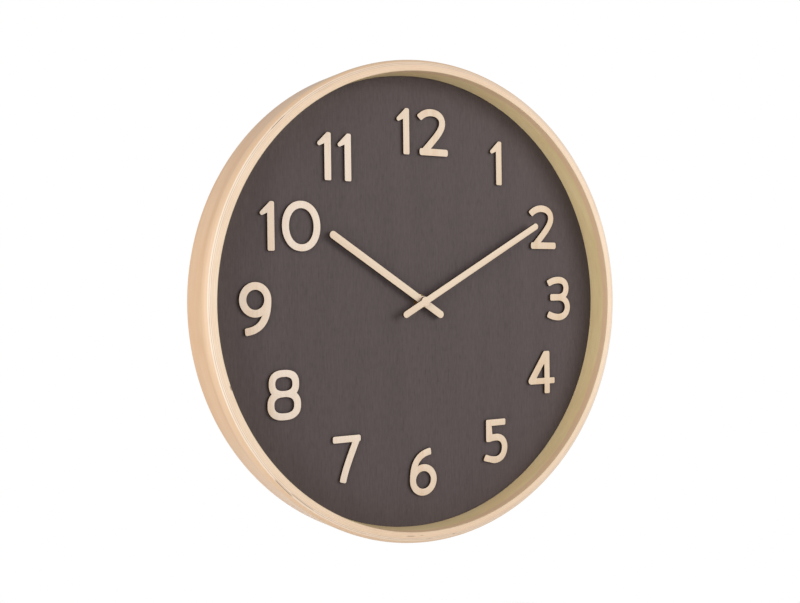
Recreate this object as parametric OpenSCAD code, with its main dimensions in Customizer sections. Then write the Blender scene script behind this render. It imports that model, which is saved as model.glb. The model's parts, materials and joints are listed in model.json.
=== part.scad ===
// Round wall clock: bent-ply rim, dark veneered dial, raised wooden numerals,
// wooden hands and a battery quartz movement behind the dial.
// The front faces -Y and +Z is up. The origin is on the hand axis, in the
// plane of the wall. Every module draws in a flat working frame (x to the
// right, y up, z away from the wall) and stand() turns it upright.

/* [Rim] */
// Outside diameter of the rim
rim_d = 520; // [510:5:560]
// Depth of the rim from the wall to its front face
rim_depth = 50; // [46:1:60]
// Thickness of the bent ply of the rim
rim_t = 13; // [11:0.5:15]
// Rounding of the front outer edge of the rim
rim_round = 8.5; // [4:0.5:9.5]

/* [Dial] */
// Thickness of the dark veneer on the dial
veneer_t = 0.6; // [0.4:0.1:0.8]
// Gap between the edge of the dial and the rim
dial_gap = 0.2; // [0.1:0.1:0.5]

/* [Numerals] */
// How far the numerals stand out from the dial
numeral_t = 3; // [2:0.5:4]
// Stroke width of the numerals
stroke = 7.7; // [7.3:0.1:8]

/* [Hands] */
// Length of the minute hand from the axis to its tip
minute_len = 179; // [160:1:185]
// Length of the minute hand's tail
minute_tail = 32; // [20:0.5:35]
// Width of the minute hand
minute_w = 7.4; // [6:0.2:8.4]
// Length of the hour hand from the axis to its tip
hour_len = 135; // [110:1:140]
// Length of the hour hand's tail
hour_tail = 31; // [20:0.5:35]
// Width of the hour hand
hour_w = 8.3; // [6:0.1:9.5]
// Thickness of both hands
hand_t = 3; // [2.6:0.1:3.2]
// Angle of the minute hand, clockwise from twelve
minute_angle = 61; // [0:1:359]
// Angle of the hour hand, clockwise from twelve
hour_angle = 303; // [0:0.6:359.4]

/* [Movement] */
// Width and height of the movement case
case_w = 56; // [56:1:60]
// Diameter of the battery cell
cell_d = 14.2; // [13.8:0.1:14.3]

/* [Hanger] */
// Diameter of the keyhole's entry
key_d = 9; // [8:0.5:10]
// Width of the keyhole's slot
key_slot = 4.6; // [4:0.2:5]

/* [Hidden] */
$fn = 96;

wood = "#ecd3b2";
brass = "#c9a252";
steel = "#b9bcc0";
nylon = "#efeee6";

// Heights above the wall
h_dial = 20;                       // face of the dial
h_board = h_dial - veneer_t;       // joint between veneer and board
board_t = 3.6 - veneer_t;
h_back = h_board - board_t;        // back of the dial board, 16.4
gasket_t = 0.6;
h_case = h_back - gasket_t;        // front of the movement case, 15.8
h_floor = h_case - 1.2;            // inner face of the case floor, 14.6
h_rear = 0.6;                      // back of the movement
h_cover = h_rear + 1.2;            // inner face of the cover, 1.8
h_hour = h_dial + 7 - hand_t;      // back of the hour hand
h_minute = h_dial + 12 - hand_t;   // back of the minute hand
rim_ri = rim_d / 2 - rim_t;
cw = case_w / 2;
bay_top = -12.4;                   // upper wall of the battery bay
bay_low = -27.3;
gear_low = -11.6;                  // lower wall of the wheel chamber
cell_y = (bay_top + bay_low) / 2;
cell_h = h_case - 1 - 0.1 - cell_d / 2;

// Motion work: cannon pinion 10, motion wheel 30, its pinion 8, hour wheel 32
mod_motion = 0.66;
d_motion = mod_motion * 20;
a_motion = 145;
p_motion = d_motion * [cos(a_motion), sin(a_motion)];
// Going train: rotor 8 to 48, 8 to 40, 8 to 60, 8 to 64
mod_second = 0.3;
a_inter = 60;
p_inter = mod_second * 24 * [cos(a_inter), sin(a_inter)];
mod_rotor = 0.25;
a_rotor = 75;
p_rotor = p_inter + mod_rotor * 28 * [cos(a_rotor), sin(a_rotor)];
mod_third = 0.36;
mod_centre = 0.34;
a_third = 5;
p_third = mod_third * 34 * [cos(a_third), sin(a_third)];
coil_y = 21.5;
coil_h = 8.9;

// ---- shared outlines -------------------------------------------------------
function unit(v) = v / norm(v);
function left(v) = [-v[1], v[0]];
function arc(c, r, a0, a1, n) = [for (k = [0:n]) c + r * [cos(a0 + (a1 - a0) * k / n), sin(a0 + (a1 - a0) * k / n)]];
function turn(a) = a > 180 ? a - 360 : a < -180 ? a + 360 : a;
// Corner b between a and c, rounded to radius r
function corner(a, b, c, r, n = 5) = r == 0 ? [b] :
    let (u = unit(a - b), v = unit(c - b), h = acos(u * v) / 2,
         m = b + unit(u + v) * r / sin(h), s = b + u * r / tan(h) - m, e = b + v * r / tan(h) - m,
         a0 = atan2(s[1], s[0]), da = turn(atan2(e[1], e[0]) - a0))
    [for (k = [0:n]) m + r * [cos(a0 + da * k / n), sin(a0 + da * k / n)]];
// Closed outline through points [x, y, radius]
function rounded(p) = [for (i = [0:len(p) - 1])
    let (a = p[(i + len(p) - 1) % len(p)], b = p[i], c = p[(i + 1) % len(p)])
    each corner([a[0], a[1]], [b[0], b[1]], [c[0], c[1]], b[2])];
function box_outline(x0, y0, x1, y1, r) = rounded([[x0, y0, r], [x1, y0, r], [x1, y1, r], [x0, y1, r]]);
function bez(a, b, c, d, n = 10) = [for (k = [0:n]) let (t = k / n, s = 1 - t)
    s * s * s * a + 3 * s * s * t * b + 3 * s * t * t * c + t * t * t * d];
function chain(parts) = [for (i = [0:len(parts) - 1]) for (k = [(i == 0 ? 0 : 1):len(parts[i]) - 1]) parts[i][k]];
function tang(p, i) = unit(p[min(i + 1, len(p) - 1)] - p[max(i - 1, 0)]);
function side(p, w, i0, i1) = [for (i = [i0:i1]) p[i] + left(tang(p, i)) * w];
function rev(p) = [for (i = [len(p) - 1:-1:0]) p[i]];
// Square end with small round corners, from the left side round to the right
function cap(p, u, w, c = 1.7, n = 4) = let (v = left(u))
    concat([for (k = [0:n]) let (a = 90 * k / n) p - u * c + v * (w / 2 - c) + c * (v * cos(a) + u * sin(a))],
           [for (k = [0:n]) let (a = 90 * k / n) p - u * c - v * (w / 2 - c) + c * (u * cos(a) - v * sin(a))]);
// Stroke of width w along the points p
function ribbon(p, w, c = 1.7) = let (n = len(p) - 1)
    concat(side(p, w / 2, 1, n - 1), cap(p[n], tang(p, n), w, c),
           rev(side(p, -w / 2, 1, n - 1)), cap(p[0], -tang(p, 0), w, c));
function bar(a, b, w, c = 1.7) = concat(cap(b, unit(b - a), w, c), cap(a, unit(a - b), w, c));
function sgn(x) = x < 0 ? -1 : 1;
function oval(c, a, b, e = 2, n = 56) = [for (k = [0:n - 1]) let (t = 360 * (k + 0.5) / n)
    c + [a * sgn(cos(t)) * pow(abs(cos(t)), 2 / e), b * sgn(sin(t)) * pow(abs(sin(t)), 2 / e)]];

module stand() { rotate([90, 0, 0]) children(); }
module slab(h0, h1) { translate([0, 0, h0]) linear_extrude(h1 - h0) children(); }
module tube(h0, h1, ro, ri) {
    difference() {
        translate([0, 0, h0]) cylinder(r = ro, h = h1 - h0);
        translate([0, 0, h0 - 1]) cylinder(r = ri, h = h1 - h0 + 2);
    }
}

// ---- rim and dial ----------------------------------------------------------
module rim() {
    color(wood) stand() rotate_extrude($fn = 180)
        polygon(concat([[rim_ri, rim_depth], [rim_ri, 0], [rim_d / 2 - 1.5, 0], [rim_d / 2, 1.5]],
            arc([rim_d / 2 - rim_round, rim_depth - rim_round], rim_round, 0, 90, 14)));
}

module dial_board() {
    color("#c8a97c") stand() difference() {
        translate([0, 0, h_back]) cylinder(r = rim_ri - dial_gap, h = board_t, $fn = 180);
        translate([0, 0, h_back - 1]) cylinder(r = 4.3, h = board_t + 2);
    }
}

module dial_veneer() {
    color("#50484a") stand() difference() {
        translate([0, 0, h_board]) cylinder(r = rim_ri - dial_gap, h = veneer_t, $fn = 180);
        translate([0, 0, h_board - 1]) cylinder(r = 4.3, h = veneer_t + 2);
    }
}

// Six blocks glued into the corner between the rim and the back of the dial
module support_blocks() {
    color("#d9b98c") stand() for (k = [0:5]) rotate([0, 0, 60 * k]) intersection() {
        translate([rim_ri - 13, -22, 3]) cube([14, 44, h_back - 3]);
        translate([0, 0, 2]) cylinder(r = rim_ri - 0.1, h = h_back, $fn = 180);
    }
}

// ---- hanger ----------------------------------------------------------------
key_y = 222;
module hanger_blocks() {
    color("#d9b98c") stand() for (s = [-1, 1]) difference() {
        intersection() {
            translate([s > 0 ? 7.5 : -25.5, 214, 1.7]) cube([18, 34, h_back - 1.7]);
            translate([0, 0, 1]) cylinder(r = rim_ri - 0.1, h = h_back, $fn = 180);
        }
        translate([s * 16.5, key_y + 4, 1]) cylinder(r = 1.55, h = 11.5);
    }
}

module hanger_plate() {
    color(steel) stand() difference() {
        slab(0.2, 1.7) polygon(box_outline(-25, 215, 25, 238, 3));
        translate([0, key_y, -1]) cylinder(r = key_d / 2, h = 4);
        translate([-key_slot / 2, key_y, -1]) cube([key_slot, 9, 4]);
        translate([0, key_y + 9, -1]) cylinder(r = key_slot / 2, h = 4);
        for (s = [-1, 1]) translate([s * 16.5, key_y + 4, 0.19]) cylinder(r1 = 3.1, r2 = 1.7, h = 1.52);
    }
}

module hanger_screws() {
    color("#a8a9a6") stand() for (s = [-1, 1]) translate([s * 16.5, key_y + 4, 0]) difference() {
        union() {
            translate([0, 0, 0.3]) cylinder(r1 = 2.9, r2 = 1.5, h = 1.4);
            translate([0, 0, 1.7]) cylinder(r = 1.5, h = 8.4);
            translate([0, 0, 10.1]) cylinder(r1 = 1.5, r2 = 0.2, h = 2.2);
        }
        translate([-2, -0.25, 0]) cube([4, 0.5, 0.8]);
        translate([-0.25, -2, 0]) cube([0.5, 4, 0.8]);
    }
}

// ---- numerals --------------------------------------------------------------
function one() = let (w = stroke / 2) rounded([[-w, 13.2, 0], [-w - 6.5, 10.1, 2], [-w - 9, 13, 2.2],
    [-0.8, 25, 1.5], [w, 25, 2], [w, -25.3, 1.5], [-w, -25.3, 1.5]]);

module glyph_1() { polygon(one()); }

module glyph_2() {
    polygon(ribbon(chain([bez([-17.2, 15.4], [-13.5, 19.6], [-7.5, 22.5], [-1, 22.5]),
        bez([-1, 22.5], [7.5, 22.5], [13.2, 18.2], [13.2, 11.3]),
        bez([13.2, 11.3], [13.2, 2.5], [1, -8], [-11.5, -21.5], 14)]), stroke));
    polygon(bar([-16.9, -21.2], [20.3, -21.2], stroke, 2.4));
}

module glyph_3() {
    w = stroke / 2;
    up = chain([bez([-15.2, 18.1], [-10.5, 21], [-5, 22.5], [0.7, 22.5]),
        bez([0.7, 22.5], [8, 22.5], [12.5, 19], [12.5, 13]), bez([12.5, 13], [12.5, 6], [8, 1.9], [1, 1.9])]);
    low = chain([bez([1, 1.9], [9, 1.9], [14.3, -3], [14.3, -9.8]),
        bez([14.3, -9.8], [14.3, -17], [8.5, -21.8], [0.5, -21.8]),
        bez([0.5, -21.8], [-5, -21.8], [-10.5, -20.3], [-15.6, -17.6])]);
    n = len(up) - 1;
    m = len(low) - 1;
    polygon(concat(
        [for (q = side(up, w, 1, n)) if (q[0] < 5 || q[1] > 1.9) if (q[1] > 1.9) q],
        [for (q = side(low, w, 0, m - 1)) if (q[1] < 1.3) q],
        cap(low[m], tang(low, m), stroke),
        rev(side(low, -w, 0, m - 1)),
        cap([-11.8, 1.9], [-1, 0], stroke),
        rev(side(up, -w, 1, n)),
        cap(up[0], -tang(up, 0), stroke)));
}

module glyph_4() {
    difference() {
        polygon(rounded([[12, 25, 2], [12, -6.8, 0], [19.5, -6.8, 1.5], [19.5, -13.9, 1.5], [12, -13.9, 0],
            [12, -25.3, 1.5], [4.2, -25.3, 1.5], [4.2, -13.9, 0], [-23.3, -13.9, 4], [3.6, 25, 1.5]]));
        polygon(rounded([[4.2, 10.6, 0.6], [-7.9, -6.8, 0.6], [4.2, -6.8, 0.4]]));
    }
}

module glyph_5() {
    w = stroke / 2;
    b = chain([bez([-8.5, 3.2], [-5.5, 4], [-2, 4.3], [1.5, 4.3]), bez([1.5, 4.3], [8.5, 4.3], [13.3, -0.5], [13.3, -7.3]),
        bez([13.3, -7.3], [13.3, -15.8], [8, -21.5], [0.2, -21.5]),
        bez([0.2, -21.5], [-5, -21.5], [-10.5, -20.2], [-15.2, -17.6])]);
    n = len(b) - 1;
    polygon(concat(
        corner([-12.7, 0], [-12.7, 25], [14.7, 25], 1.5), corner([-12.7, 25], [14.7, 25], [14.7, 17.7], 1.7),
        corner([14.7, 25], [14.7, 17.7], [-4.9, 17.7], 1.7), [[-4.9, 17.7]],
        [for (q = side(b, w, 0, n - 1)) if (q[0] > -4.8) q],
        cap(b[n], tang(b, n), stroke),
        rev(side(b, -w, 0, n - 1)),
        corner([-7.6, -0.4], [-12.7, -0.4], [-12.7, 20], 1.8)));
}

module glyph_6() {
    w = stroke / 2;
    t = bez([-13.65, -9.1], [-13.65, 8], [-8, 20], [10.2, 22.1], 24);
    difference() {
        polygon(concat(rev(cap(t[24], tang(t, 24), stroke)),
            rev(side(t, w, 1, 23)),
            arc([-0.1, -9.1], 13.55 + w, 180, 475, 44),
            [for (q = side(t, -w, 9, 23)) if (q[1] > 7) q]));
        polygon(oval([-0.1, -9.1], 13.55 - w, 13.55 - w));
    }
}

module glyph_7() {
    polygon(bar([-16.5, 21], [16.8, 21], 7.2, 2));
    polygon(ribbon(bez([12.6, 21.5], [7.5, 9], [-1.5, -8], [-5.4, -24.8], 16), 7.8));
}

module glyph_8() {
    difference() {
        union() {
            polygon(oval([-0.3, 11.2], 16.9, 14.4, 2.5));
            polygon(oval([-0.2, -10.3], 18.7, 15.5, 2.4));
        }
        polygon(oval([-0.5, 11.3], 9.5, 7.1, 2.6));
        polygon(oval([-0.3, -10.4], 11, 8.2, 2.6));
    }
}

module glyph_9() {
    w = stroke / 2;
    t = bez([13.55, 9.4], [13.55, -9.5], [7, -21.5], [-11.4, -23], 24);
    difference() {
        polygon(concat([for (k = [0:44]) let (a = 300 * k / 44) [0, 9.4] + [(13.55 + w) * cos(a), (14 + w) * sin(a)]],
            [for (q = side(t, -w, 9, 23)) if (q[1] < -6.6) q],
            rev(cap(t[24], tang(t, 24), stroke)),
            rev(side(t, w, 1, 23))));
        polygon(oval([0, 9.4], 13.55 - w, 14 - w));
    }
}

module glyph_0() {
    difference() {
        polygon(oval([0, 0], 21.8, 26, 2.1));
        polygon(oval([0, -0.2], 13.9, 18.5, 2.1));
    }
}

module numeral(x, y) {
    color(wood) stand() slab(h_dial, h_dial + numeral_t) translate([x, y]) children();
}
module numeral_1() { numeral(107.7, 157.5) glyph_1(); }
module numeral_2() { numeral(170, 84.5) glyph_2(); }
module numeral_3() { numeral(193, 0) glyph_3(); }
module numeral_4() { numeral(167, -86.5) glyph_4(); }
module numeral_5() { numeral(98, -162) glyph_5(); }
module numeral_6() { numeral(0, -187.5) glyph_6(); }
module numeral_7() { numeral(-95, -164.5) glyph_7(); }
module numeral_8() { numeral(-166, -92.5) glyph_8(); }
module numeral_9() { numeral(-196.5, -4.5) glyph_9(); }
module numeral_10() { numeral(-178.4, 79.5) glyph_1(); numeral(-144.4, 79.9) glyph_0(); }
module numeral_11() { numeral(-113, 153.5) glyph_1(); numeral(-89.2, 153.5) glyph_1(); }
module numeral_12() { numeral(-16.8, 186) glyph_1(); numeral(17, 186) glyph_2(); }

// ---- hands -----------------------------------------------------------------
module hand_shape(len, tail, w) {
    polygon(concat(arc([0, len - w / 2], w / 2, 0, 180, 16), arc([0, w / 2 - tail], w / 2, 180, 360, 16)));
}

module hour_hand() {
    color(wood) stand() rotate([0, 0, -hour_angle]) difference() {
        slab(h_hour, h_hour + hand_t) { hand_shape(hour_len, hour_tail, hour_w); circle(r = 6.2); }
        translate([0, 0, h_hour - 1]) cylinder(r = 3.4, h = hand_t + 2);
    }
}

// Flanged brass bush pressed into the hour hand, a push fit on the hour pipe
module hour_hand_bush() {
    color(brass) stand() difference() {
        union() {
            translate([0, 0, h_hour - 0.5]) cylinder(r = 4.6, h = 0.5);
            translate([0, 0, h_hour]) cylinder(r = 3.38, h = hand_t + 0.1);
        }
        translate([0, 0, h_hour - 1]) cylinder(r = 2.57, h = hand_t + 2);
    }
}

module minute_hand() {
    color(wood) stand() rotate([0, 0, -minute_angle]) difference() {
        slab(h_minute, h_minute + hand_t) { hand_shape(minute_len, minute_tail, minute_w); circle(r = 5.3); }
        translate([0, 0, h_minute - 1]) cylinder(r = 2.7, h = 3.1);
    }
}

// Brass bush in the back of the minute hand, its hole flattened to key the shaft
module minute_hand_bush() {
    color(brass) stand() rotate([0, 0, -minute_angle]) difference() {
        union() {
            translate([0, 0, h_minute - 1.3]) cylinder(r = 3.6, h = 1.3);
            translate([0, 0, h_minute]) cylinder(r = 2.68, h = 2);
        }
        intersection() {
            translate([0, 0, h_minute - 2]) cylinder(r = 1.67, h = 3.9);
            translate([-1.46, -3, h_minute - 2]) cube([2.92, 6, 3.9]);
        }
    }
}

// ---- fastening of the movement to the dial ---------------------------------
module fixing_nut() {
    color(brass) stand() difference() {
        translate([0, 0, h_dial + 0.5]) cylinder(r = 6.9, h = 2.2, $fn = 6);
        translate([0, 0, h_dial]) cylinder(r = 4.04, h = 4);
    }
}

module flat_washer() { color(brass) stand() tube(h_dial, h_dial + 0.5, 7.8, 4.15); }

module gasket() { color("#222222") stand() tube(h_case, h_back, 12, 4.2); }

// Threaded brass bushing, flanged inside the case; the hour pipe runs in it
bush_top = h_dial + 3.3;
module threaded_bushing() {
    ridges = 9;
    color(brass) stand() rotate_extrude()
        polygon(concat([[2.6, h_floor - 0.6], [5.2, h_floor - 0.6], [5.2, h_floor], [4, h_floor], [4, bush_top - 0.75 * ridges]],
            [for (k = [0:ridges - 1]) each [[3.72, bush_top - 0.75 * (ridges - k) + 0.37], [4, bush_top - 0.75 * (ridges - k) + 0.74]]],
            [[3.8, bush_top], [2.6, bush_top]]));
}

// ---- movement case ---------------------------------------------------------
module movement_case() {
    color("#26282b") stand() difference() {
        slab(h_rear, h_case) polygon(box_outline(-cw, -28, cw, cw, 2.2));
        // seat of the cover
        translate([-cw - 1, bay_top, h_rear - 1]) cube([2 * cw + 2, 60, 2.2]);
        // wheel chamber and battery bay
        translate([1.2 - cw, gear_low, h_cover - 1]) cube([2 * cw - 2.4, cw - 1.2 - gear_low, h_floor - h_cover + 1]);
        translate([1.2 - cw, bay_low, -1]) cube([2 * cw - 2.4, bay_top - bay_low, h_case]);
        translate([0, 0, h_floor - 1]) cylinder(r = 4.03, h = 4);
        translate([p_motion[0], p_motion[1], h_floor - 1]) cylinder(r = 0.66, h = 1.5);
        // ways for the two contact strips
        translate([-26.6, bay_top - 1, 5.9]) cube([4.4, 3, 1.3]);
        translate([21.8, bay_top - 1, 7.3]) cube([4.8, 3, 2.2]);
        // finger notch for lifting the cell
        translate([-9, -29, -1]) cube([18, 4, 6]);
    }
}

module movement_cover() {
    color("#2c2e31") stand() difference() {
        union() {
            slab(h_rear, h_cover) polygon(rounded([[-cw, bay_top + 0.1, 0.4], [cw, bay_top + 0.1, 0.4], [cw, cw, 2.2], [-cw, cw, 2.2]]));
            translate([p_motion[0], p_motion[1], h_rear]) cylinder(r = 6.9, h = 4.1);
            // locating ribs inside the case walls
            translate([-26.6, 14, h_cover]) cube([1, 8, 2]);
            translate([25.6, 14, h_cover]) cube([1, 8, 2]);
        }
        translate([p_motion[0], p_motion[1], h_rear - 1]) cylinder(r = 6.2, h = 4.4);
        translate([p_motion[0], p_motion[1], h_rear - 1]) cylinder(r = 1.06, h = 8);
        for (p = [p_inter, p_third, p_rotor]) translate([p[0], p[1], 1]) cylinder(r = 0.5, h = 2);
        translate([0, 0, 1]) cylinder(r = 0.56, h = 2);
    }
}

// ---- electronics -----------------------------------------------------------
module circuit_board() {
    color("#2f6b3c") stand() difference() {
        translate([-26.3, -11.2, 4.9]) cube([13.6, 14.8, 1]);
        translate([-24.6, 1.6, 4]) cylinder(r = 0.9, h = 3);
    }
}

module chip_blob() {
    color("#151515") stand() translate([-19.4, -3.4, 5.9]) rotate_extrude()
        polygon(concat([[0, 0], [3, 0]], [for (k = [1:9]) [3 * cos(10 * k), 1.3 * sin(10 * k)]], [[0, 1.3]]));
}

module quartz_crystal() {
    color(steel) stand() translate([-22.4, 2, 6.95]) rotate([0, 90, 0]) {
        cylinder(r = 1, h = 6.2, $fn = 48);
        translate([0, 0, -0.3]) cylinder(r = 0.7, h = 0.3, $fn = 48);
        for (s = [-1, 1]) translate([0, s * 0.35, -1.8]) cylinder(r = 0.15, h = 1.5, $fn = 24);
    }
}

module coil_bobbin() {
    color("#e9e4d4") stand() difference() {
        union() {
            translate([-3.5, coil_y - 4.7, coil_h - 4.7]) cube([1, 9.4, 9.4]);
            translate([12.5, coil_y - 4.7, coil_h - 4.7]) cube([1, 9.4, 9.4]);
            translate([-2.6, coil_y - 2.4, coil_h - 1.4]) cube([15.2, 4.8, 2.8]);
        }
        translate([-5, coil_y - 1.7, coil_h - 0.7]) cube([20, 3.4, 1.4]);
    }
}

module coil_winding() {
    color("#b5622d") stand() difference() {
        translate([-2.45, coil_y, coil_h]) rotate([0, 90, 0]) cylinder(r = 4.3, h = 14.9);
        translate([-3, coil_y - 2.45, coil_h - 1.45]) cube([16, 4.9, 2.9]);
    }
}

module coil_core() {
    color("#9a9ca0") stand() translate([-9.5, coil_y - 1.6, coil_h - 0.5]) cube([29, 3.2, 1]);
}

module stator() {
    color("#8f9296") stand() difference() {
        slab(coil_h - 1.6, coil_h - 0.5) polygon(rounded([[-10, 9.2, 1], [20, 9.2, 1], [20, 24.4, 1], [14.4, 24.4, 1],
            [14.4, 16.2, 1], [-4.4, 16.2, 1], [-4.4, 24.4, 1], [-10, 24.4, 1]]));
        translate([p_rotor[0], p_rotor[1], 0]) cylinder(r = 3.4, h = 20);
    }
}

// ---- wheels ----------------------------------------------------------------
// Outline of a wheel or pinion with slim clock teeth, one tooth at angle a
function teeth(n, m, a) = [for (k = [0:n - 1]) for (q = [[-0.29, -1.2], [-0.2, -0.1], [-0.16, 0.35], [-0.07, 0.8],
    [0.07, 0.8], [0.16, 0.35], [0.2, -0.1], [0.29, -1.2]])
    let (r = m * (n / 2 + q[1]), t = a + (k + q[0]) * 360 / n) r * [cos(t), sin(t)]];
module gear(h0, h1, n, m, a) { slab(h0, h1) polygon(teeth(n, m, a)); }
module bore(r) { translate([0, 0, -1]) cylinder(r = r, h = 60, $fn = 48); }
module windows(n, r, d, h0, h1) { for (k = [0:n - 1]) rotate([0, 0, 360 * (k + 0.5) / n]) translate([r, 0, h0 - 0.5]) cylinder(r = d, h = h1 - h0 + 1, $fn = 48); }

module rotor_pinion() {
    color(nylon) stand() translate([p_rotor[0], p_rotor[1], 0]) difference() {
        union() {
            gear(1.95, 2.95, 8, mod_rotor, a_rotor + 180 + 22.5);
            translate([0, 0, 2.95]) cylinder(r = 0.85, h = 6.9, $fn = 48);
            translate([0, 0, 6.4]) cylinder(r = 1.8, h = 0.6, $fn = 48);
        }
        bore(0.4);
    }
}

module rotor_magnet() {
    color("#4b4d50") stand() translate([p_rotor[0], p_rotor[1], 0]) tube(7, 9.8, 3, 0.87);
}

module intermediate_wheel() {
    color(nylon) stand() translate([p_inter[0], p_inter[1], 0]) difference() {
        union() {
            gear(2.1, 2.7, 48, mod_rotor, a_rotor);
            gear(2.65, 4.2, 8, mod_second, a_inter + 180 + 22.5);
        }
        bore(0.55);
        windows(5, 3.6, 1.1, 2.1, 2.7);
    }
}

module seconds_wheel() {
    color(nylon) stand() difference() {
        union() {
            gear(3.2, 3.9, 40, mod_second, a_inter);
            gear(3.85, 5.5, 8, mod_third, a_third + 22.5);
            translate([0, 0, 2.9]) cylinder(r = 1, h = 0.4, $fn = 48);
            translate([0, 0, 1.05]) cylinder(r = 0.5, h = 6.4, $fn = 48);
        }
        windows(5, 3.5, 0.9, 3.2, 3.9);
    }
}

module third_wheel() {
    color(nylon) stand() translate([p_third[0], p_third[1], 0]) difference() {
        union() {
            gear(4.5, 5.25, 60, mod_third, a_third + 180);
            gear(5.2, 7, 8, mod_centre, a_third + 180 + 22.5);
            translate([0, 0, 2]) cylinder(r = 1.1, h = 2.6, $fn = 48);
        }
        bore(0.55);
        windows(6, 6.2, 1.9, 4.5, 5.25);
    }
}

module centre_wheel() {
    color(nylon) stand() difference() {
        gear(6, 6.7, 64, mod_centre, a_third);
        bore(1.7);
        windows(6, 6.4, 1.9, 6, 6.7);
    }
}

// Dished spring washer that lets the hands be set without turning the train
module clutch_washer() {
    color(brass) stand() rotate_extrude() polygon([[1.66, 6.85], [3.1, 6.72], [3.1, 6.87], [1.66, 7]]);
}

module minute_shaft() {
    color(steel) stand() difference() {
        union() {
            translate([0, 0, 5.75]) cylinder(r = 1.65, h = h_minute + 1.8 - 5.75);
            translate([0, 0, 7.05]) cylinder(r = 2.6, h = 3.6);
            gear(10.6, 12.2, 10, mod_motion, a_motion + 18);
        }
        translate([0, 0, 5]) cylinder(r = 0.56, h = 3, $fn = 48);
        for (s = [-1, 1]) rotate([0, 0, -minute_angle]) translate([s > 0 ? 1.44 : -3.44, -3, h_minute - 1.6]) cube([2, 6, 6]);
    }
}

module motion_wheel() {
    color(nylon) stand() translate([p_motion[0], p_motion[1], 0]) difference() {
        union() {
            gear(10.8, 12, 30, mod_motion, a_motion + 180);
            gear(11.95, 14, 8, mod_motion, a_motion + 180);
            translate([0, 0, 9]) cylinder(r = 2, h = 1.9, $fn = 48);
            translate([0, 0, 14]) cylinder(r = 0.6, h = 1, $fn = 48);
        }
        translate([0, 0, 8]) cylinder(r = 1, h = 5, $fn = 48);
        windows(5, 6.6, 1.7, 10.8, 12);
    }
}

module hour_wheel() {
    color(nylon) stand() difference() {
        union() {
            gear(12.45, 13.75, 32, mod_motion, a_motion + 360 / 64);
            translate([0, 0, 12.45]) cylinder(r = 2.55, h = h_hour + hand_t + 0.2 - 12.45);
        }
        bore(1.7);
        windows(5, 6.6, 1.9, 12.45, 13.75);
    }
}

// Thumb wheel in the back of the cover, on the shaft of the motion wheel
module setting_knob() {
    color("#3a3c40") stand() translate([p_motion[0], p_motion[1], 0]) {
        slab(0.7, 3.6) polygon([for (k = [0:71]) let (r = k % 3 == 0 ? 5.4 : 5.8) r * [cos(5 * k), sin(5 * k)]]);
        translate([0, 0, 3.5]) cylinder(r = 1, h = 8.5, $fn = 48);
    }
}

// Steel pins pressed into the cover, which three of the wheels turn on
module wheel_pins() {
    color(steel) stand() {
        translate([p_inter[0], p_inter[1], 1]) cylinder(r = 0.5, h = 3.4, $fn = 48);
        translate([p_third[0], p_third[1], 1]) cylinder(r = 0.5, h = 6.3, $fn = 48);
        translate([p_rotor[0], p_rotor[1], 1]) { cylinder(r = 0.5, h = 0.8, $fn = 48); cylinder(r = 0.35, h = 9.2, $fn = 48); }
    }
}

// ---- battery and contacts --------------------------------------------------
module positive_contact() {
    color("#d6d3c8") stand() {
        translate([26.2, cell_y - 4.5, cell_h - 4.5]) cube([0.4, 9, 9]);
        translate([26.2, cell_y, 7.5]) cube([0.4, gear_low + 0.45 - cell_y, 1.8]);
        translate([-21, gear_low + 0.05, 7.5]) cube([47.6, 0.4, 1.8]);
        translate([-21, gear_low + 0.05, 5.9]) cube([2.2, 0.4, 1.8]);
    }
}

// Plate with a leaf bent towards the cell, which pushes it on to the other contact
module negative_contact() {
    color("#d6d3c8") stand() {
        translate([-26.7, cell_y - 5, cell_h - 5]) cube([0.4, 10, 10]);
        slab(cell_h - 2, cell_h + 2) polygon([[-26.4, cell_y - 4.6], [-25.2, cell_y - 0.4], [-24.85, cell_y - 0.4], [-24.85, cell_y + 0.4],
            [-25.2, cell_y + 0.4], [-26.4, cell_y + 4.6], [-26.4, cell_y + 3.6], [-25.5, cell_y], [-26.4, cell_y - 3.6]]);
        translate([-26.5, cell_y, 5.95]) cube([1.2, gear_low + 2 - cell_y, 0.4]);
    }
}

module battery() {
    r = cell_d / 2;
    color("#7d8a94") stand() translate([0, cell_y, cell_h]) rotate([0, 90, 0]) rotate_extrude()
        polygon([[0, -24.8], [4.4, -24.8], [4.5, -24.5], [r - 0.5, -24.5], [r, -24], [r, 24.3], [r - 0.5, 24.8],
            [2.8, 24.9], [2.7, 26], [0, 26]]);
}

rim();
dial_board();
dial_veneer();
support_blocks();
hanger_blocks();
hanger_plate();
hanger_screws();
numeral_1();
numeral_2();
numeral_3();
numeral_4();
numeral_5();
numeral_6();
numeral_7();
numeral_8();
numeral_9();
numeral_10();
numeral_11();
numeral_12();
hour_hand();
hour_hand_bush();
minute_hand();
minute_hand_bush();
fixing_nut();
flat_washer();
threaded_bushing();
gasket();
movement_case();
movement_cover();
circuit_board();
chip_blob();
quartz_crystal();
coil_bobbin();
coil_winding();
coil_core();
stator();
rotor_pinion();
rotor_magnet();
intermediate_wheel();
seconds_wheel();
third_wheel();
centre_wheel();
clutch_washer();
minute_shaft();
motion_wheel();
hour_wheel();
setting_knob();
wheel_pins();
positive_contact();
negative_contact();
battery();
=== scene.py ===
import json
import math
import bpy
import bmesh
from mathutils import Vector, Matrix

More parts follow.
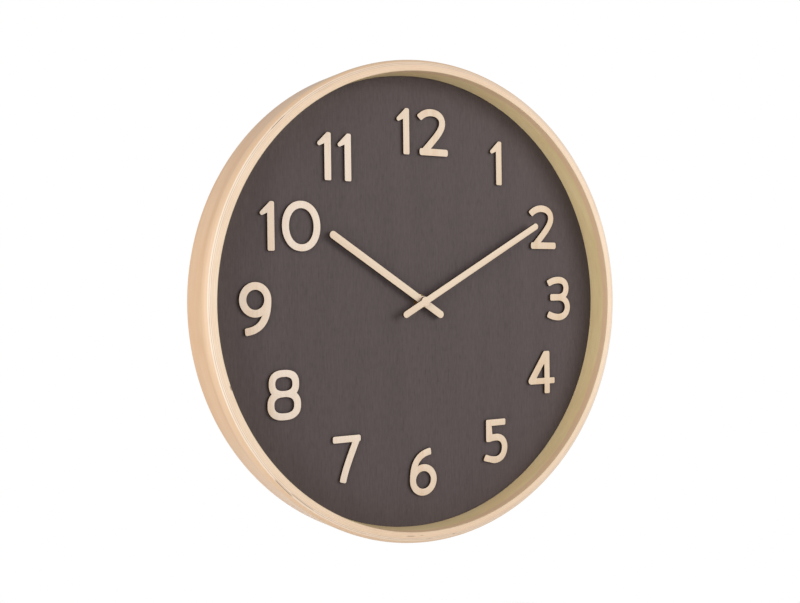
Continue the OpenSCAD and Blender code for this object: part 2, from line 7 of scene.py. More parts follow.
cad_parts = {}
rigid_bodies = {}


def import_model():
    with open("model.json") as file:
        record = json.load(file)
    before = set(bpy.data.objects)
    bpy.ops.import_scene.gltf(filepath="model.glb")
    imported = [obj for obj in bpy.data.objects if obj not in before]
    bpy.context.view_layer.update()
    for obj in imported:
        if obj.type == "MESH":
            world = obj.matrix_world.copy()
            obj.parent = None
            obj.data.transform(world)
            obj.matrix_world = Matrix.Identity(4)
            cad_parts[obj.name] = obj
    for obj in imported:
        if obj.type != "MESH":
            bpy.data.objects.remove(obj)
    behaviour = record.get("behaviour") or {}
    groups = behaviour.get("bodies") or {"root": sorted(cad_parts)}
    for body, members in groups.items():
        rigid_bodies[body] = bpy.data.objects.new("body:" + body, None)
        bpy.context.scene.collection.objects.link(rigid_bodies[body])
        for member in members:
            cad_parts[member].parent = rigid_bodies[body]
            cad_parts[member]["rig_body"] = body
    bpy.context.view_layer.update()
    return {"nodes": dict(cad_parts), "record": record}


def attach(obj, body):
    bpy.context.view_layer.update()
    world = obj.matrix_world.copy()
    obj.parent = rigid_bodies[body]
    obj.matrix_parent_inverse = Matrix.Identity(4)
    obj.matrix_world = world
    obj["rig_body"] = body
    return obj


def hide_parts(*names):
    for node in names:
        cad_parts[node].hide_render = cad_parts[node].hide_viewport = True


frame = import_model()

NODES = frame["nodes"]

# ------------------------------------------------------------------ node helpers


class Mat:
    """A small builder for one procedural material."""

    def __init__(self, name, rough=0.5, metallic=0.0, coat=0.0, coat_rough=0.2, ior=1.45, specular=0.5):
        self.mat = bpy.data.materials.new(name)
        self.mat.use_nodes = True
        self.nt = self.mat.node_tree
        self.nt.nodes.clear()
        self.out = self.nt.nodes.new("ShaderNodeOutputMaterial")
        self.bsdf = self.nt.nodes.new("ShaderNodeBsdfPrincipled")
        self.nt.links.new(self.bsdf.outputs[0], self.out.inputs["Surface"])
        b = self.bsdf.inputs
        b["Roughness"].default_value = rough
        b["Metallic"].default_value = metallic
        b["IOR"].default_value = ior
        b["Specular IOR Level"].default_value = specular
        b["Coat Weight"].default_value = coat
        b["Coat Roughness"].default_value = coat_rough
        self._obj = None
        self._sep = None

    def node(self, kind, **props):
        n = self.nt.nodes.new(kind)
        for k, v in props.items():
            setattr(n, k, v)
        return n

    def put(self, socket, value):
        if isinstance(value, bpy.types.NodeSocket):
            self.nt.links.new(value, socket)
        elif isinstance(value, (tuple, list)) and len(value) == 3 and socket.type == "RGBA":
            socket.default_value = (*value, 1.0)
        else:
            socket.default_value = value

    def coords(self):
        if self._obj is None:
            self._obj = self.node("ShaderNodeTexCoord").outputs["Object"]
        return self._obj

    def xyz(self):
        if self._sep is None:
            s = self.node("ShaderNodeSeparateXYZ")
            self.nt.links.new(self.coords(), s.inputs[0])
            self._sep = s.outputs
        return self._sep[0], self._sep[1], self._sep[2]

    def m(self, op, a, b=0.0, c=0.0, clamp=False):
        n = self.node("ShaderNodeMath", operation=op, use_clamp=clamp)
        self.put(n.inputs[0], a)
        self.put(n.inputs[1], b)
        self.put(n.inputs[2], c)
        return n.outputs[0]

    def vec(self, x=0.0, y=0.0, z=0.0):
        n = self.node("ShaderNodeCombineXYZ")
        self.put(n.inputs[0], x)
        self.put(n.inputs[1], y)
        self.put(n.inputs[2], z)
        return n.outputs[0]

    def scaled(self, sx, sy, sz, ox=0.0, oy=0.0, oz=0.0):
        n = self.node("ShaderNodeMapping")
        self.nt.links.new(self.coords(), n.inputs["Vector"])
        n.inputs["Scale"].default_value = (sx, sy, sz)
        n.inputs["Location"].default_value = (ox, oy, oz)
        return n.outputs[0]

    def noise(self, vector, scale=1.0, detail=3.0, rough=0.5, distortion=0.0):
        n = self.node("ShaderNodeTexNoise")
        n.noise_dimensions = "3D"
        self.put(n.inputs["Vector"], vector)
        n.inputs["Scale"].default_value = scale
        n.inputs["Detail"].default_value = detail
        n.inputs["Roughness"].default_value = rough
        n.inputs["Distortion"].default_value = distortion
        return n.outputs[0]

    def ramp(self, fac, stops, mode="LINEAR"):
        n = self.node("ShaderNodeValToRGB")
        n.color_ramp.interpolation = mode
        e = n.color_ramp.elements
        while len(e) < len(stops):
            e.new(0.5)
        for k, (p, col) in enumerate(stops):
            e[k].position = p
            e[k].color = (*col, 1.0) if len(col) == 3 else col
        self.put(n.inputs[0], fac)
        return n.outputs[0]

    def mix(self, fac, a, b, blend="MIX"):
        n = self.node("ShaderNodeMix", data_type="RGBA", blend_type=blend)
        self.put(n.inputs[0], fac)
        self.put(n.inputs[6], a)
        self.put(n.inputs[7], b)
        return n.outputs[2]

    def span(self, value, lo, hi, t0=0.0, t1=1.0):
        n = self.node("ShaderNodeMapRange", clamp=True, interpolation_type="SMOOTHSTEP")
        self.put(n.inputs[0], value)
        n.inputs[1].default_value = lo
        n.inputs[2].default_value = hi
        n.inputs[3].default_value = t0
        n.inputs[4].default_value = t1
        return n.outputs[0]

    def bump(self, height, strength=0.2, distance=0.0002):
        n = self.node("ShaderNodeBump")
        n.inputs["Strength"].default_value = strength
        n.inputs["Distance"].default_value = distance
        self.put(n.inputs["Height"], height)
        self.nt.links.new(n.outputs[0], self.bsdf.inputs["Normal"])

    def color(self, value):
        self.put(self.bsdf.inputs["Base Color"], value)

    def rough(self, value):
        self.put(self.bsdf.inputs["Roughness"], value)


def srgb(r, g, b):
    """Linear colour from 8-bit sRGB values."""
    f = lambda c: c / 12.92 if c <= 0.04045 else ((c + 0.055) / 1.055) ** 2.4
    return tuple(f(v / 255.0) for v in (r, g, b))


def mul(c, k):
    return tuple(v * k for v in c)


def lerp(a, b, t):
    return tuple(x + (y - x) * t for x, y in zip(a, b))


# ------------------------------------------------------------------ wood

RIM_RI, RIM_RO, RIM_RR = 0.247, 0.260, 0.0085
FRONT_EDGE = math.radians(50.5)     # how far the face veneer turns round the front rounding


def polar(M):
    """Radius, and a vector that follows the rim round without a seam."""
    x, y, z = M.xyz()
    r = M.m("SQRT", M.m("ADD", M.m("MULTIPLY", x, x), M.m("MULTIPLY", z, z)))
    return r, M.m("DIVIDE", x, r), M.m("DIVIDE", z, r), y


def rim_front_material():
    """The cut edge of the bent ply: thin layers that follow the rim round, with a few voids."""
    M = Mat("bent_ply_edge", rough=0.5, coat=0.08, coat_rough=0.35)
    r, cx, cz, y = polar(M)
    x, _, z = M.xyz()
    # slow wander of the ply boundaries, 0.3 mm at most
    wob = M.noise(M.vec(M.m("MULTIPLY", cx, 3.0), M.m("MULTIPLY", cz, 3.0), 0.0), 2.2, 2.0)
    rw = M.m("ADD", r, M.m("MULTIPLY", M.m("SUBTRACT", wob, 0.5), 0.0006))
    t = M.m("DIVIDE", M.m("SUBTRACT", rw, RIM_RI), RIM_RO - RIM_RI)
    inner = (0.60, 0.49, 0.33)
    cream = (0.80, 0.635, 0.47)
    warm = (0.785, 0.605, 0.435)
    # white: pale plies over the front rounding, partly ply colour and partly a painted highlight along the rounding
    white = (0.83, 0.685, 0.545)
    tan = (0.72, 0.505, 0.335)
    line = (0.61, 0.485, 0.375)
    faint = (0.70, 0.545, 0.40)

    def at(radius_mm):
        return (radius_mm - 247.0) / 13.0

    stops = [(0.0, inner), (at(247.5), inner), (at(247.8), cream)]
    side = cream
    for centre, half, col, after in ((248.3, 0.10, faint, warm), (249.7, 0.12, faint, cream), (251.1, 0.10, faint, warm),
                                     (252.3, 0.12, faint, cream), (253.7, 0.16, line, white), (255.2, 0.16, line, white)):
        stops += [(at(centre - half - 0.3), side), (at(centre - half), col), (at(centre + half), col), (at(centre + half + 0.3), after)]
        side = after
    stops += [(at(256.6), white), (at(256.95), tan), (1.0, tan)]
    plies = M.ramp(t, stops)
    # long fibres round the edge
    fib = M.noise(M.vec(M.m("MULTIPLY", cx, 12.0), M.m("MULTIPLY", cz, 12.0), M.m("MULTIPLY", r, 900.0)), 1.0, 4.0, 0.6)
    fibc = M.ramp(fib, [(0.30, (0.955, 0.945, 0.935)), (0.52, (1.0, 1.0, 1.0)), (0.72, (1.03, 1.03, 1.035))])
    col = M.mix(1.0, plies, fibc, "MULTIPLY")
    big = M.noise(M.vec(M.m("MULTIPLY", cx, 5.0), M.m("MULTIPLY", cz, 5.0), M.m("MULTIPLY", r, 90.0)), 1.0, 3.0, 0.55)
    bigc = M.ramp(big, [(0.3, (0.975, 0.95, 0.925)), (0.55, (1.0, 1.0, 1.0)), (0.75, (1.01, 1.015, 1.03))])
    col = M.mix(1.0, col, bigc, "MULTIPLY")
    # painted shade: the cut edge is darkened towards the top and bottom of the ring
    col = M.mix(M.m("MULTIPLY", cz, cz), col, (0.875, 0.82, 0.775), "MULTIPLY")
    # short dark voids, splits and one small knot
    deg = M.m("MULTIPLY", M.m("ARCTAN2", z, x), 180.0 / math.pi)
    marks = [(132.4, 138.1, 0.25525, 0.25535, 0.00038, 0.75), (-138.1, -131.3, 0.25605, 0.2563, 0.00042, 0.85),
             (-133.0, -125.0, 0.2546, 0.2548, 0.00034, 0.7), (-99.4, -96.1, 0.25118, 0.25116, 0.00046, 0.8),
             (-95.2, -94.0, 0.25093, 0.25092, 0.00036, 0.55), (-93.6, -91.4, 0.2552, 0.25537, 0.00034, 0.6), (-85.8, -84.6, 0.2543, 0.2543, 0.00036, 0.65),
             (-162.1, -160.5, 0.2477, 0.2477, 0.0009, 0.75), (118.0, 123.0, 0.2526, 0.2527, 0.00022, 0.35),
             (24.0, 30.0, 0.2537, 0.2537, 0.00022, 0.35), (-46.0, -41.0, 0.2523, 0.2524, 0.00022, 0.3)]
    total = None
    for a0, a1, r0, r1, w, power in marks:
        s = M.m("DIVIDE", M.m("SUBTRACT", deg, a0), a1 - a0)
        centre = M.m("ADD", r0, M.m("MULTIPLY", s, r1 - r0))
        off = M.m("ABSOLUTE", M.m("SUBTRACT", rw, centre))
        across = M.span(off, w * 0.3, w * 1.3, power, 0.0)
        ends = min(1.2, (a1 - a0) * 0.35)
        along = M.m("MULTIPLY", M.span(deg, a0, a0 + ends, 0.0, 1.0), M.span(deg, a1 - ends, a1, 1.0, 0.0))
        one = M.m("MULTIPLY", across, along)
        total = one if total is None else M.m("MAXIMUM", total, one)
    col = M.mix(total, col, (0.16, 0.10, 0.065))
    M.color(col)
    M.rough(M.span(fib, 0.3, 0.7, 0.44, 0.56))
    M.bump(M.m("SUBTRACT", fib, total), 0.22, 0.0001)
    return M.mat


def rim_side_material(name, base, dark, light, front_band=None, depth=0.05):
    """Rotary-cut face veneer with its grain round the rim."""
    M = Mat(name, rough=0.36, coat=0.25, coat_rough=0.26)
    r, cx, cz, y = polar(M)
    fine = M.noise(M.vec(M.m("MULTIPLY", cx, 9.0), M.m("MULTIPLY", cz, 9.0), M.m("MULTIPLY", y, 900.0)), 1.0, 5.0, 0.62)
    broad = M.noise(M.vec(M.m("MULTIPLY", cx, 2.6), M.m("MULTIPLY", cz, 2.6), M.m("MULTIPLY", y, 70.0)), 1.0, 3.0, 0.5, 0.4)
    patch = M.noise(M.vec(M.m("MULTIPLY", cx, 4.0), M.m("MULTIPLY", cz, 4.0), M.m("MULTIPLY", y, 14.0)), 1.3, 2.0)
    col = M.ramp(broad, [(0.28, dark), (0.5, base), (0.74, light)])
    col = M.mix(1.0, col, M.ramp(fine, [(0.3, (0.93, 0.91, 0.89)), (0.5, (1, 1, 1)), (0.75, (1.04, 1.04, 1.05))]), "MULTIPLY")
    col = M.mix(1.0, col, M.ramp(patch, [(0.3, (1.0, 0.955, 0.93)), (0.6, (1, 1, 1))]), "MULTIPLY")
    if front_band is not None:
        # the last centimetre before the front edge; on the outer veneer this paler band is a painted highlight over the
        # front rounding
        wav = M.m("ADD", y, M.m("MULTIPLY", M.m("SUBTRACT", patch, 0.5), 0.004))
        col = M.mix(M.m("MULTIPLY", M.span(wav, -0.0425, -0.0395, 1.0, 0.0), 0.85), col, front_band)
    M.color(col)
    M.rough(M.span(fine, 0.3, 0.7, 0.32, 0.42))
    M.bump(fine, 0.12, 0.0001)
    return M.mat


def veneer_material():
    """Dark stained veneer, grain upright, with the fine broken fibre of an open-pored wood."""
    M = Mat("dark_veneer", rough=0.62, specular=0.16)
    x, y, z = M.xyz()
    bend = M.noise(M.scaled(5.0, 1.0, 1.4), 1.0, 2.0)
    gx = M.m("ADD", x, M.m("MULTIPLY", M.m("SUBTRACT", bend, 0.5), 0.012))
    fibre = M.noise(M.vec(M.m("MULTIPLY", gx, 640.0), 0.0, M.m("MULTIPLY", z, 42.0)), 1.0, 4.0, 0.62)
    fleck = M.noise(M.vec(M.m("MULTIPLY", gx, 330.0), 3.0, M.m("MULTIPLY", z, 120.0)), 1.0, 3.0, 0.6)
    pores = M.noise(M.vec(M.m("MULTIPLY", gx, 1500.0), 3.0, M.m("MULTIPLY", z, 85.0)), 1.0, 2.0, 0.5)
    streak = M.noise(M.vec(M.m("MULTIPLY", gx, 38.0), 7.0, M.m("MULTIPLY", z, 3.0)), 1.0, 3.0, 0.5)
    dark, base, light = mul(VENEER, 0.95), VENEER, mul(VENEER, 1.05)
    col = M.ramp(streak, [(0.3, dark), (0.5, base), (0.72, light)])
    col = M.mix(1.0, col, M.ramp(fibre, [(0.28, (0.88, 0.88, 0.89)), (0.52, (1, 1, 1)), (0.75, (1.11, 1.10, 1.09))]), "MULTIPLY")
    col = M.mix(1.0, col, M.ramp(fleck, [(0.30, (0.92, 0.92, 0.92)), (0.5, (1, 1, 1)), (0.72, (1.08, 1.07, 1.06))]), "MULTIPLY")
    col = M.mix(0.8, col, M.ramp(pores, [(0.30, (0.77, 0.76, 0.76)), (0.44, (1, 1, 1))]), "MULTIPLY")
    M.color(col)
    M.bump(M.m("ADD", M.m("MULTIPLY", fibre, 0.6), M.m("MULTIPLY", pores, 0.8)), 0.22, 0.00012)
    return M.mat


VENEER = (0.080, 0.0625, 0.0615)


def pale_wood(name, base, across, along, rough=0.5, coat=0.0, seed=0.0, contrast=1.0, boards=False):
    """Pale close-grained wood. across and along are the scales over and along the grain, as (x, y, z) triples."""
    M = Mat(name, rough=rough, coat=coat, coat_rough=0.3)
    fine = M.noise(M.scaled(*across, ox=seed, oy=seed * 1.7, oz=seed * 0.3), 1.0, 4.0, 0.6)
    broad = M.noise(M.scaled(*along, ox=seed * 2.0, oz=seed), 1.0, 3.0, 0.5, 0.3)
    lo = lerp(base, (base[0] * 0.93, base[1] * 0.86, base[2] * 0.78), contrast)
    hi = lerp(base, (base[0] * 1.03, base[1] * 1.04, base[2] * 1.07), contrast)
    col = M.ramp(broad, [(0.3, lo), (0.5, base), (0.75, hi)])
    c = 0.06 * contrast
    col = M.mix(1.0, col, M.ramp(fine, [(0.3, (1 - c, 1 - 1.2 * c, 1 - 1.4 * c)), (0.5, (1, 1, 1)), (0.72, (1 + c * 0.5,) * 3)]), "MULTIPLY")
    if boards:
        # cut from more than one board: whiter to the left, warmer to the right
        x, y, z = M.xyz()
        col = M.mix(1.0, col, M.ramp(M.span(x, -0.2, 0.2), [(0.0, (1.06, 1.10, 1.18)), (0.5, (0.995, 1.0, 1.01)), (1.0, (0.93, 0.905, 0.85))]), "MULTIPLY")
    M.color(col)
    M.bump(fine, 0.15, 0.0001)
    return M.mat


def burnt_edge():
    M = Mat("cut_edge", rough=0.7, specular=0.3)
    x, y, z = M.xyz()
    n = M.noise(M.scaled(700, 260, 700), 1.0, 3.0)
    M.color(M.ramp(n, [(0.3, (0.016, 0.0085, 0.005)), (0.7, (0.042, 0.022, 0.012))]))
    M.bump(n, 0.2, 0.00005)
    return M.mat


def plywood_back():
    M = Mat("plywood", rough=0.6)
    g = M.noise(M.scaled(16, 4, 460), 1.0, 4.0, 0.6)
    b = M.noise(M.scaled(3.0, 1, 60), 1.0, 3.0, 0.55, 0.5)
    knots = M.noise(M.scaled(9, 1, 26, oz=4.0), 1.0, 2.0)
    col = M.ramp(b, [(0.3, (0.46, 0.31, 0.175)), (0.5, (0.57, 0.41, 0.25)), (0.75, (0.66, 0.50, 0.33))])
    col = M.mix(1.0, col, M.ramp(g, [(0.3, (0.86, 0.83, 0.8)), (0.5, (1, 1, 1)), (0.75, (1.06, 1.06, 1.06))]), "MULTIPLY")
    col = M.mix(M.span(knots, 0.70, 0.78, 0.0, 0.5), col, (0.30, 0.17, 0.08))
    M.color(col)
    M.bump(g, 0.2, 0.00015)
    return M.mat


# ------------------------------------------------------------------ metal, plastic and the rest

def metal(name, col, rough, grain=0.0, scale=900.0, metallic=1.0):
    M = Mat(name, rough=rough, metallic=metallic)
    n = M.noise(M.scaled(scale, scale, scale), 1.0, 3.0)
    M.color(M.ramp(n, [(0.3, mul(col, 0.93)), (0.7, mul(col, 1.04))]))
    M.rough(M.span(n, 0.3, 0.7, rough * 0.85, rough * 1.2))
    if grain:
        M.bump(n, grain, 0.00003)
    return M.mat


def turned_brass(name, col, rough):
    """Fine turning marks round the hand axis."""
    M = Mat(name, rough=rough, metallic=1.0)
    r, cx, cz, y = polar(M)
    n = M.noise(M.vec(M.m("MULTIPLY", r, 9000.0), M.m("MULTIPLY", y, 9000.0), M.m("MULTIPLY", cx, 2.0)), 1.0, 2.0)
    M.color(M.ramp(n, [(0.3, mul(col, 0.9)), (0.7, mul(col, 1.05))]))
    M.rough(M.span(n, 0.3, 0.7, rough * 0.8, rough * 1.3))
    M.bump(n, 0.15, 0.00002)
    return M.mat


def plastic(name, col, rough, texture=0.25, scale=2600.0):
    M = Mat(name, rough=rough)
    n = M.noise(M.scaled(scale, scale, scale), 1.0, 2.0)
    big = M.noise(M.scaled(60, 60, 60), 1.0, 2.0)
    M.color(M.ramp(big, [(0.3, mul(col, 0.92)), (0.7, mul(col, 1.07))]))
    M.rough(M.span(n, 0.3, 0.7, rough * 0.9, rough * 1.1))
    M.bump(n, texture, 0.00004)
    return M.mat


def board_material():
    M = Mat("board_green", rough=0.28, coat=0.4, coat_rough=0.12)
    x, y, z = M.xyz()
    br = M.node("ShaderNodeTexBrick")
    br.offset = 0.35
    M.put(br.inputs["Vector"], M.vec(M.m("MULTIPLY", x, 1.0), M.m("MULTIPLY", z, 1.0), 0.0))
    br.inputs["Scale"].default_value = 420.0
    br.inputs["Mortar Size"].default_value = 0.055
    br.inputs["Mortar Smooth"].default_value = 0.2
    br.inputs["Brick Width"].default_value = 1.1
    br.inputs["Row Height"].default_value = 0.55
    br.inputs["Color1"].default_value = (0.018, 0.12, 0.045, 1)
    br.inputs["Color2"].default_value = (0.024, 0.145, 0.055, 1)
    br.inputs["Mortar"].default_value = (0.06, 0.26, 0.11, 1)
    M.color(br.outputs[0])
    return M.mat


def winding_material():
    M = Mat("copper_wire", rough=0.28, metallic=0.85, coat=0.5, coat_rough=0.15)
    x, y, z = M.xyz()
    w = M.m("ADD", M.m("MULTIPLY", M.m("SINE", M.m("MULTIPLY", x, 2 * math.pi / 0.00024)), 0.5), 0.5)
    n = M.noise(M.scaled(500, 500, 500), 1.0, 2.0)
    # painted shade: the copper is darkened in the grooves between wire turns; the same wave drives the bump
    col = M.ramp(w, [(0.0, (0.20, 0.055, 0.018)), (0.5, (0.52, 0.17, 0.06)), (1.0, (0.70, 0.27, 0.11))])
    col = M.mix(0.4, col, M.ramp(n, [(0.3, (0.7, 0.7, 0.7)), (0.7, (1.1, 1.1, 1.1))]), "MULTIPLY")
    M.color(col)
    M.bump(w, 0.6, 0.00005)
    return M.mat


def cell_material():
    """A plain AA cell: metal ends, a dark jacket and one pale band."""
    M = Mat("cell_jacket", rough=0.24, metallic=0.3, coat=0.4, coat_rough=0.1)
    x, y, z = M.xyz()
    t = M.m("DIVIDE", M.m("ADD", x, 0.0248), 0.0508)
    n = M.noise(M.scaled(300, 300, 300), 1.0, 2.0)
    jacket = (0.055, 0.10, 0.135)
    metalc = (0.62, 0.62, 0.60)
    band = (0.55, 0.50, 0.38)
    col = M.ramp(t, [(0.0, metalc), (0.018, metalc), (0.02, jacket), (0.66, jacket), (0.662, band), (0.70, band), (0.702, jacket),
                     (0.955, jacket), (0.957, metalc), (1.0, metalc)], "LINEAR")
    col = M.mix(0.25, col, M.ramp(n, [(0.3, (0.9, 0.9, 0.9)), (0.7, (1.05, 1.05, 1.05))]), "MULTIPLY")
    M.color(col)
    return M.mat


BASS = (0.665, 0.53, 0.40)
mats = {
    "bent_ply_edge": rim_front_material(),
    # outer veneer: its lighter, paler front_band is a painted highlight over the front rounding
    "bent_ply_out": rim_side_material("bent_ply_out", (0.655, 0.425, 0.248), (0.61, 0.38, 0.21), (0.69, 0.47, 0.29), front_band=(0.685, 0.475, 0.305)),
    # inner wall: its olive tone is partly varnished veneer colour and partly painted shade and a painted reflection of
    # the dark dial
    "bent_ply_in": rim_side_material("bent_ply_in", (0.78, 0.61, 0.335), (0.72, 0.555, 0.295), (0.82, 0.65, 0.37), front_band=(0.73, 0.495, 0.32)),
    "dark_veneer": veneer_material(),
    "plywood": plywood_back(),
    "softwood": pale_wood("softwood", (0.66, 0.44, 0.24), (60, 420, 420), (8, 70, 70), rough=0.62, contrast=1.8),
    "numeral_wood": pale_wood("basswood", BASS, (520, 60, 26), (60, 20, 4), rough=0.55, seed=2.0, boards=True),
    "cut_edge": burnt_edge(),
    "brass": turned_brass("brass", (0.78, 0.57, 0.27), 0.22),
    "zinc_steel": metal("zinc_steel", (0.62, 0.64, 0.66), 0.34, 0.3),
    "bright_steel": metal("bright_steel", (0.68, 0.69, 0.70), 0.2, 0.1),
    "core_steel": metal("core_steel", (0.40, 0.41, 0.42), 0.38, 0.3),
    "magnet": metal("magnet", (0.13, 0.13, 0.14), 0.45, 0.2, metallic=0.7),
    "contact_plate": metal("contact_plate", (0.74, 0.73, 0.69), 0.25, 0.15),
    "black_rubber": plastic("black_rubber", (0.02, 0.02, 0.02), 0.8),
    "black_plastic": plastic("black_plastic", (0.022, 0.023, 0.025), 0.48, 0.35),
    "knob_plastic": plastic("knob_plastic", (0.032, 0.033, 0.036), 0.38, 0.1),
    "white_nylon": plastic("white_nylon", (0.80, 0.79, 0.73), 0.4, 0.05),
    "bobbin_plastic": plastic("bobbin_plastic", (0.74, 0.69, 0.56), 0.4, 0.05),
    "copper_wire": winding_material(),
    "board_green": board_material(),
    "epoxy_black": plastic("epoxy_black", (0.010, 0.010, 0.011), 0.22, 0.1, 900),
    "cell_jacket": cell_material(),
}


def paint(obj, *names):
    obj.data.materials.clear()
    for n in names:
        obj.data.materials.append(mats[n])


SLOT_OF = {s["node"]: s["material_slot"] for s in frame["record"]["subparts"]}
for name, obj in NODES.items():
    s = SLOT_OF.get(name, "")
    s = {"bent_ply": "bent_ply_out", "basswood": "numeral_wood"}.get(s, s)
    if name == "setting_knob":
        s = "knob_plastic"
    paint(obj, s)

# ------------------------------------------------------------------ rim


def lathe(name, profile, kinds, segments, materials):
    """A closed ring from (radius, y) points; kinds gives each profile edge's material index."""
    me = bpy.data.meshes.new(name)
    n = len(profile)
    verts, faces, mi = [], [], []
    for s in range(segments):
        a = 2 * math.pi * s / segments
        ca, sa = math.cos(a), math.sin(a)
        for r, y in profile:
            verts.append((r * ca, y, r * sa))
    for s in range(segments):
        s2 = (s + 1) % segments
        for k in range(n):
            k2 = (k + 1) % n
            faces.append((s * n + k, s * n + k2, s2 * n + k2, s2 * n + k))
            mi.append(kinds[k])
    me.from_pydata(verts, [], faces)
    me.polygons.foreach_set("material_index", mi)
    me.polygons.foreach_set("use_smooth", [True] * len(faces))
    me.update()
    o = bpy.data.objects.new(name, me)
    bpy.context.scene.collection.objects.link(o)
    for m in materials:
        me.materials.append(mats[m])
    bm = bmesh.new()
    bm.from_mesh(me)
    bmesh.ops.recalc_face_normals(bm, faces=bm.faces)
    bm.to_mesh(me)
    bm.free()
    me.set_sharp_from_angle(angle=math.radians(32))
    return o


def rim_profile():
    R, RI, D, RR = RIM_RO, RIM_RI, 0.050, RIM_RR
    pts, kinds = [], []

    def add(r, y, kind):
        pts.append((r, y))
        kinds.append(kind)      # kind of the edge that starts here

    # 0 outer side, 1 cut edge (front, rounding, back), 2 inner wall
    add(RI + 0.0004, 0.0, 1)
    add(R - 0.0015, 0.0, 1)
    add(R, -0.0015, 0)
    n = 40
    yc, rc = -(D - RR), R - RR
    groove = [0.2552, 0.2537, 0.2523, 0.2511, 0.2497, 0.2483]
    prev = R
    for k in range(n + 1):
        a = math.pi / 2 * k / n
        r, y = rc + RR * math.cos(a), yc - RR * math.sin(a)
        for g in groove:
            if prev > g >= r and rc <= g:
                ag = math.acos(max(-1.0, min(1.0, (g - rc) / RR)))
                for da, dd in ((-0.008, 0.0), (0.0, 0.00004), (0.008, 0.0)):
                    if ag + da < math.pi / 2:
                        add(rc + (RR - dd) * math.cos(ag + da), yc - (RR - dd) * math.sin(ag + da), 1)
        if all(abs(math.acos(max(-1, min(1, (g - rc) / RR))) - a) > 0.008 for g in groove if g >= rc):
            add(r, y, 0 if a < FRONT_EDGE else 1)
        prev = r
    for g in groove:
        if RI + 0.0008 < g < rc - 0.00025:
            add(g + 0.00008, -D, 1)
            add(g, -D + 0.00004, 1)
            add(g - 0.00008, -D, 1)
    e = 0.0006
    for k in range(5):
        a = math.pi / 2 * k / 4
        add(RI + e - e * math.sin(a), -D + e - e * math.cos(a), 1 if k < 3 else 2)
    add(RI, -0.025, 2)
    add(RI, -0.0165, 2)
    add(RI - 0.0004, -0.0162, 2)      # shallow shoulder behind the dial board
    add(RI - 0.0004, -0.0004, 1)
    return pts, kinds


pts, kinds = rim_profile()
rim_look = lathe("rim_look", pts, kinds, 720, ["bent_ply_out", "bent_ply_edge", "bent_ply_in"])
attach(rim_look, "clock_body")
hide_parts("rim")

# ------------------------------------------------------------------ numerals and hands


def softened(node, new_name, bevel, faces_mat, sides_mat, segments=3):
    """A copy of a flat CAD piece with its front edges eased, its faces in one material and its cut sides in another."""
    src = NODES[node]
    bm = bmesh.new()
    bm.from_mesh(src.data)
    bmesh.ops.remove_doubles(bm, verts=bm.verts, dist=2e-6)
    bmesh.ops.dissolve_limit(bm, angle_limit=math.radians(0.6), verts=bm.verts, edges=bm.edges, delimit={"NORMAL"})
    bm.normal_update()
    ymin = min(v.co.y for v in bm.verts)
    front = [e for e in bm.edges if len(e.link_faces) == 2 and abs(e.verts[0].co.y - ymin) < 1e-6 and abs(e.verts[1].co.y - ymin) < 1e-6
             and min(f.normal.y for f in e.link_faces) < -0.99 and max(f.normal.y for f in e.link_faces) > -0.5]
    bmesh.ops.bevel(bm, geom=front, offset=bevel, offset_type="OFFSET", segments=segments, profile=0.5, affect="EDGES", clamp_overlap=True)
    bm.normal_update()
    for f in bm.faces:
        f.material_index = 0 if abs(f.normal.y) > 0.35 else 1
        f.smooth = True
    me = bpy.data.meshes.new(new_name)
    bm.to_mesh(me)
    bm.free()
    me.materials.append(mats[faces_mat])
    me.materials.append(mats[sides_mat])
    me.set_sharp_from_angle(angle=math.radians(35))
    o = bpy.data.objects.new(new_name, me)
    bpy.context.scene.collection.objects.link(o)
    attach(o, src["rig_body"])
    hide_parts(node)
    return o


def hand_wood(name, angle_cw, seed):
    """Basswood with its grain along a hand that points angle_cw degrees clockwise from twelve."""
    M = Mat(name, rough=0.5)
    n = M.node("ShaderNodeMapping", vector_type="POINT")
    M.nt.links.new(M.coords(), n.inputs["Vector"])
    n.inputs["Rotation"].default_value = (0.0, -math.radians(angle_cw), 0.0)
    n.inputs["Location"].default_value = (seed, 0.0, seed * 2)
    s = M.node("ShaderNodeSeparateXYZ")
    M.nt.links.new(n.outputs[0], s.inputs[0])
    fine = M.noise(M.vec(M.m("MULTIPLY", s.outputs[0], 900.0), M.m("MULTIPLY", s.outputs[1], 90.0), M.m("MULTIPLY", s.outputs[2], 22.0)), 1.0, 4.0, 0.6)
    broad = M.noise(M.vec(M.m("MULTIPLY", s.outputs[0], 150.0), 0.0, M.m("MULTIPLY", s.outputs[2], 6.0)), 1.0, 3.0, 0.5, 0.3)
    base = (BASS[0] * 0.96, BASS[1] * 0.95, BASS[2] * 0.93)
    col = M.ramp(broad, [(0.3, (base[0] * 0.96, base[1] * 0.90, base[2] * 0.84)), (0.5, base), (0.75, mul(base, 1.04))])
    col = M.mix(1.0, col, M.ramp(fine, [(0.3, (0.95, 0.93, 0.91)), (0.5, (1, 1, 1)), (0.72, (1.03, 1.03, 1.03))]), "MULTIPLY")
    M.color(col)
    M.bump(fine, 0.15, 0.0001)
    return M.mat


mats["hour_wood"] = hand_wood("basswood_hour", 303.0, 0.31)
mats["minute_wood"] = hand_wood("basswood_minute", 61.0, 0.73)
for k in range(1, 13):
    softened("numeral_%d" % k, "numeral_look_%d" % k, 0.00032, "numeral_wood", "cut_edge")
softened("hour_hand", "hour_hand_look", 0.00035, "hour_wood", "cut_edge")
softened("minute_hand", "minute_hand_look", 0.00035, "minute_wood", "cut_edge")

# ------------------------------------------------------------------ studio

sc = bpy.context.scene
sc.view_settings.view_transform = "Standard"
sc.view_settings.look = "None"
sc.view_settings.exposure = 0.0
sc.view_settings.gamma = 1.0

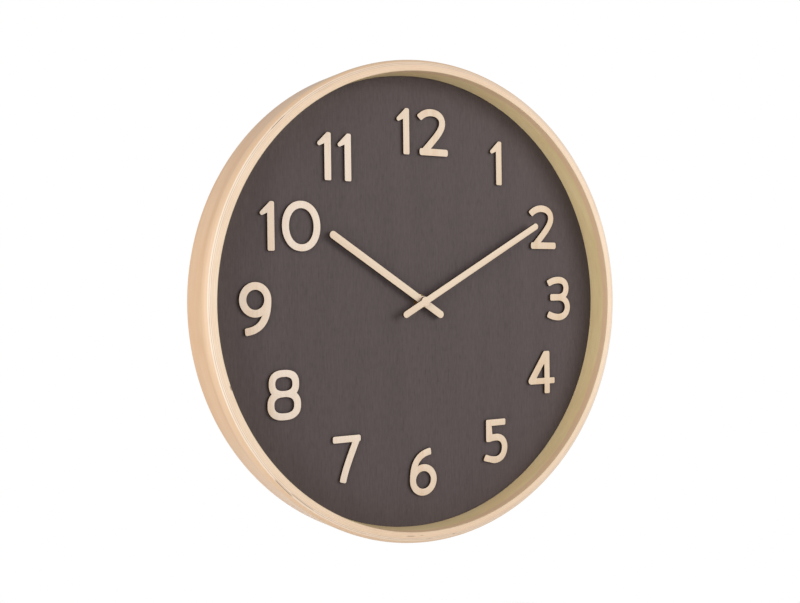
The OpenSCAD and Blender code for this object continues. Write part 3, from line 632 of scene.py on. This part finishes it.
world = bpy.data.worlds.new("studio")
sc.world = world
world.use_nodes = True
wn = world.node_tree
wn.nodes.clear()
out = wn.nodes.new("ShaderNodeOutputWorld")
fill = wn.nodes.new("ShaderNodeBackground")
seen = wn.nodes.new("ShaderNodeBackground")
path = wn.nodes.new("ShaderNodeLightPath")
mixw = wn.nodes.new("ShaderNodeMixShader")
fill.inputs[0].default_value = (1.0, 1.0, 1.0, 1.0)
fill.inputs[1].default_value = 0.52
seen.inputs[0].default_value = (1.0, 1.0, 1.0, 1.0)
seen.inputs[1].default_value = 1.0
wn.links.new(path.outputs["Is Camera Ray"], mixw.inputs[0])
wn.links.new(fill.outputs[0], mixw.inputs[1])
wn.links.new(seen.outputs[0], mixw.inputs[2])
wn.links.new(mixw.outputs[0], out.inputs[0])


def panel(name, pos, target, w, h, watts, col=(1.0, 1.0, 1.0)):
    light = bpy.data.lights.new(name, "AREA")
    light.shape = "RECTANGLE"
    light.size, light.size_y = w, h
    light.energy = watts
    light.color = col
    o = bpy.data.objects.new(name, light)
    sc.collection.objects.link(o)
    o.location = pos
    o.rotation_euler = (Vector(target) - Vector(pos)).to_track_quat("-Z", "Y").to_euler()
    return o


panel("key", (1.24, -1.78, 0.55), (0, 0, 0), 1.45, 1.45, 32.0)
panel("back_fill", (0.9, 2.1, -0.1), (0, 0, 0), 1.2, 1.2, 26.0)
panel("side_fill", (-1.9, -0.55, 0.1), (0, 0, 0), 1.8, 1.8, 27.0)

floor_me = bpy.data.meshes.new("floor")
ring = [(1.38 * math.cos(math.radians(a * 2)), 1.38 * math.sin(math.radians(a * 2)), -0.75) for a in range(180)]
floor_me.from_pydata(ring, [], [list(range(180))])
floor_me.update()
floor = bpy.data.objects.new("floor", floor_me)
sc.collection.objects.link(floor)
F = Mat("floor_pale", rough=0.8)
F.color((0.80, 0.80, 0.79))
floor_me.materials.append(F.mat)

cam = bpy.data.cameras.new("camera")
cam.sensor_fit = "HORIZONTAL"
cam.sensor_width = 36.0
cam.lens = 46.527
cam.clip_start = 0.01
cam_o = bpy.data.objects.new("camera", cam)
sc.collection.objects.link(cam_o)
ax = Vector((0.857014, -0.515136, -0.012719)).normalized()
az = Vector((-0.515031, -0.857104, 0.010729)).normalized()
ay = az.cross(ax).normalized()
ax = ay.cross(az).normalized()
rot = Matrix((ax, ay, az)).transposed().to_4x4()
rot.translation = Vector((-0.6058, -0.98543, 0.0125))
cam_o.matrix_world = rot
sc.camera = cam_o
